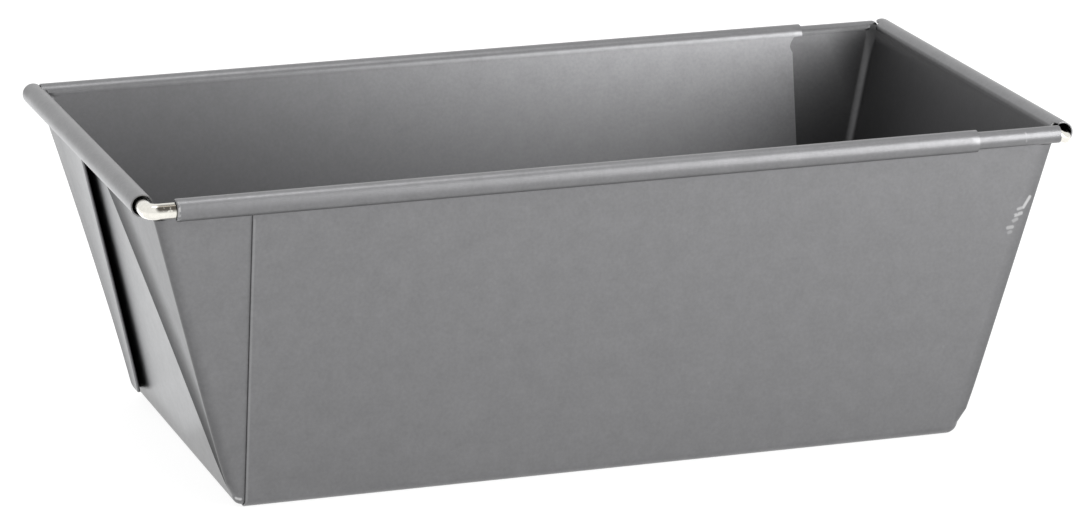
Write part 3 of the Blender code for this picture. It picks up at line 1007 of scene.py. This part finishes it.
def rub(tree, place, start, end, width, marking, weight=1.0):
    """One line mark's mask in a material; rub marks, painted highlights and the painted dark
    reflection use it: `marking` is the noise above which the mark shows.
    """
    mark = add_group(tree, rub_mark, {
        "Vector": place, "Start": start, "End": end, "Width": width, "Worn": marking})
    return product(tree, mark.outputs["Mask"], weight)


def grainy_metal(name, flakes):
    """A material with its tree, the place on the piece and the metal's grain."""
    finish = settings("finish")
    material = bpy.data.materials.new(name)
    material.use_nodes = True
    tree = material.node_tree
    place = add_node(tree, "ShaderNodeTexCoord").outputs["Object"]
    grain = add_group(tree, coating_grain, {
        "Vector": place, "Flake Size": finish.grain_size, "Flakes": flakes,
        "Mottle": finish.mottle_contrast})
    return material, tree, place, grain.outputs


def worn_through(tree, surface, tone, marking, bare):
    """A surface colour at its tone, mixed towards a mark's colour: bare metal at rub marks and
    flecks, light at painted highlights, dark at the painted dark reflection.
    """
    return add_node(tree, "ShaderNodeMix", {
        "Factor": marking, 6: scaled(tree, (*surface,), tone), 7: (*bare, 1.0)},
        data_type="RGBA").outputs[2]


def coating_material(name, half):
    """Silver-grey coated steel: metal flakes, a slight texture, rub marks, painted highlights,
    dulled folds with painted shade, painted shade at the foot and on the back roll, a darker inside
    with painted shade on the outer half and painted light inside the inner half.
    """
    finish = settings("finish")
    material, tree, place, grain = grainy_metal(name, finish.grain_contrast)
    # Mask of the folds' dulling and painted shade
    fold = add_node(tree, "ShaderNodeAttribute", attribute_name=FOLD_DULL_SHADE).outputs["Fac"]
    # Painted shade: darker towards the foot
    foot = span(tree, split(tree, place)["Z"], (0.0, half.height), (finish.foot_tone, 1.0),
                "LINEAR")
    # Painted shade on the back roll's side that faces the inside
    rim = add_group(tree, back_rim_mask, {
        "Vector": place, "Centre": (0, half.rims[0], half.height), "Radius": half.rolls[0]})
    rim_shade_tone = finish.back_rim_inner if half.inner else finish.back_rim_outer
    tone = product(tree, grain["Tone"], foot, toned(tree, fold, finish.dull_tone),
                   inside_shade(tree, half, place), toned(tree, rim.outputs["Mask"], rim_shade_tone))
    marking = add_group(tree, bright_flecks, {"Vector": place, "Amount": FLECK_AMOUNT})
    marking = marking.outputs["Mask"]
    # Rub marks, and painted highlights drawn as the same marks
    for line in rub_lines(half):
        marking = maths(tree, "MAXIMUM", marking, rub(tree, place, *line))
    rough = finish.coating_roughness
    rough = span(tree, fold, (0.0, 1.0), (rough, rough + finish.dull_roughness))
    bump = add_node(tree, "ShaderNodeBump", {
        "Height": grain["Height"], "Distance": finish.grain_depth, "Strength": 1.0})
    feed(tree, tree.nodes["Principled BSDF"], {
        "Base Color": worn_through(tree, finish.coating, tone, marking, finish.scuff),
        "Roughness": maths(tree, "ADD", grain["Roughness Step"], rough),
        "Metallic": span(tree, fold, (0.0, 1.0), (1.0, finish.dull_metal)),
        "Coat Weight": span(tree, fold, (0.0, 1.0), (finish.lacquer, 0.0)),
        "Coat Roughness": finish.lacquer_roughness,
        "Normal": bump.outputs["Normal"]})
    return material


def steel_material(name):
    """Bright plated wire with a faint unevenness and a painted dark reflection along it at the
    front left.
    """
    size, wires, finish = settings("sizes"), settings("wires"), settings("finish")
    material, tree, place, grain = grainy_metal(name, finish.mottle_contrast)
    front = -size.rim_width / 2 - wires.inner_radius * cos(DARK_REFLECTION_TURN)
    height = size.rim_height + wires.inner_radius * sin(DARK_REFLECTION_TURN)
    start, end = ((x, front, height) for x in DARK_REFLECTION_RUN)
    # Painted dark reflection: a dark line along the bare wire
    reflection_line = rub(tree, place, start, end, DARK_REFLECTION_WIDTH, DARK_REFLECTION_LEAST)
    feed(tree, tree.nodes["Principled BSDF"], {
        "Base Color": worn_through(tree, finish.steel, grain["Tone"], reflection_line, finish.tarnish),
        "Roughness": maths(tree, "ADD", grain["Roughness Step"], finish.steel_roughness),
        "Metallic": 1.0})
    return material


def floor_material():
    """A pale floor that is seen as white and keeps the pan's shadow."""
    studio = settings("studio")
    material = bpy.data.materials.new("floor_white")
    material.use_nodes = True
    tree = material.node_tree
    rays = add_node(tree, "ShaderNodeLightPath").outputs
    seen = maths(tree, "MAXIMUM", rays["Is Camera Ray"], rays["Is Glossy Ray"])
    seen = maths(tree, "MAXIMUM", seen, rays["Is Transmission Ray"])
    feed(tree, tree.nodes["Principled BSDF"], {
        "Base Color": (*studio.floor, 1.0), "Roughness": 1.0, "Specular IOR Level": 0.0,
        "Emission Color": (*WHITE, 1.0),
        "Emission Strength": product(tree, seen, studio.floor_lift)})
    return material


def build_half(end, name, node, body):
    half = Half(end)
    piece = new_piece(name, folded_sheet(half), coating_material(f"{name}_coating", half))
    thicken(piece)
    stand_for(piece, body, node)


class LOAFPAN_OT_inner_half(bpy.types.Operator):
    """Make the half that slides inside the other, closed at -X"""

    bl_idname = "loaf_pan.inner_half"
    bl_label = "Inner half"

    def execute(self, context):
        build_half(-1, "inner_half_sheet", "inner_pan", INNER_BODY)
        return {"FINISHED"}


class LOAFPAN_OT_outer_half(bpy.types.Operator):
    """Make the half that the other slides in, closed at +X"""

    bl_idname = "loaf_pan.outer_half"
    bl_label = "Outer half"

    def execute(self, context):
        build_half(1, "outer_half_sheet", "outer_pan", OUTER_BODY)
        return {"FINISHED"}


class LOAFPAN_OT_rim_wires(bpy.types.Operator):
    """Make the two bright wires in the rims"""

    bl_idname = "loaf_pan.rim_wires"
    bl_label = "Rim wires"

    def execute(self, context):
        wires = settings("wires")
        inner = bent_wire(-1, wires.inner_radius, INNER_LEG_END, wires.inner_corner,
                          (0, 0, wires.back_sag), (0, 0))
        outer = bent_wire(1, wires.outer_radius, OUTER_LEG_END, wires.outer_corner,
                          (wires.outer_sag, wires.bend_sag, wires.back_sag),
                          (wires.outer_shift, wires.bend_shift))
        for name, bm, node, body in (("inner_wire_bar", inner, "inner_rim_wire", INNER_BODY),
                                     ("outer_wire_bar", outer, "outer_rim_wire", OUTER_BODY)):
            piece = new_piece(name, bm, steel_material(f"{name}_plating"))
            stand_for(piece, body, node)
        return {"FINISHED"}


class LOAFPAN_OT_studio(bpy.types.Operator):
    """Set up the camera, the white surround, the floor and the lamps"""

    bl_idname = "loaf_pan.studio"
    bl_label = "Studio"

    def execute(self, context):
        scene, studio = context.scene, settings("studio")
        scene.view_settings.view_transform = "Standard"

        lens = bpy.data.cameras.new("camera")
        lens.lens = studio.focal_length
        camera = bpy.data.objects.new("camera", lens)
        turn = Matrix.Rotation(-studio.yaw, 4, "Z") @ Matrix.Rotation(pi / 2 - studio.pitch, 4, "X")
        turn = turn @ Matrix.Rotation(studio.roll, 4, "Z")
        camera.matrix_world = Matrix.Translation(studio.camera_place) @ turn
        scene.collection.objects.link(camera)
        scene.camera = camera

        scene.world = bpy.data.worlds.new("surround")
        scene.world.use_nodes = True
        tree = scene.world.node_tree
        feed(tree, tree.nodes["Background"], {"Color": (*WHITE, 1.0), "Strength": studio.surround})

        bm = bmesh.new()
        bmesh.ops.create_grid(bm, x_segments=1, y_segments=1, size=FLOOR_SIZE)
        floor = new_piece("floor", bm, floor_material())

        for name, (place, aim, spread, tint) in LAMPS.items():
            add_lamp(name, place, aim, spread, tint, getattr(studio, name))
        return {"FINISHED"}


def add_lamp(name, place, aim, spread, tint, watts):
    """A rectangular area lamp that lights the pan and isn't seen by the camera."""
    light = bpy.data.lights.new(name, "AREA")
    light.shape = "RECTANGLE"
    light.size, light.size_y = spread
    light.energy = watts
    light.color = tint
    lamp = bpy.data.objects.new(name, light)
    lamp.location = place
    lamp.rotation_euler = (Vector(aim) - Vector(place)).to_track_quat("-Z", "Y").to_euler()
    lamp.visible_camera = False
    bpy.context.scene.collection.objects.link(lamp)


class LOAFPAN_PT_panel(bpy.types.Panel):
    """Lists the pan's pieces"""

    bl_idname = "LOAFPAN_PT_panel"
    bl_label = "Loaf Pan"
    bl_space_type = "VIEW_3D"
    bl_region_type = "UI"
    bl_category = "Loaf Pan"

    def draw(self, context):
        for operator in OPERATORS:
            self.layout.operator(operator.bl_idname)


OPERATORS = (LOAFPAN_OT_studio, LOAFPAN_OT_inner_half, LOAFPAN_OT_outer_half,
             LOAFPAN_OT_rim_wires)
GROUPS = {
    "loaf_pan_sizes": LoafPanSizes,
    "loaf_pan_corners": LoafPanCorners,
    "loaf_pan_flaps": LoafPanFlaps,
    "loaf_pan_flat_flap": LoafPanFlatFlap,
    "loaf_pan_proud_flap": LoafPanProudFlap,
    "loaf_pan_wires": LoafPanWires,
    "loaf_pan_finish": LoafPanFinish,
    "loaf_pan_studio": LoafPanStudio,
}


def register():
    for kind in (*GROUPS.values(), *OPERATORS, LOAFPAN_PT_panel):
        bpy.utils.register_class(kind)
    for name, kind in GROUPS.items():
        setattr(bpy.types.Scene, name, PointerProperty(type=kind))


def unregister():
    for name in GROUPS:
        delattr(bpy.types.Scene, name)
    for kind in (LOAFPAN_PT_panel, *OPERATORS, *GROUPS.values()):
        bpy.utils.unregister_class(kind)


def main():
    register()
    bpy.ops.loaf_pan.studio()
    bpy.ops.loaf_pan.inner_half()
    bpy.ops.loaf_pan.outer_half()
    bpy.ops.loaf_pan.rim_wires()


if __name__ == "__main__":
    main()
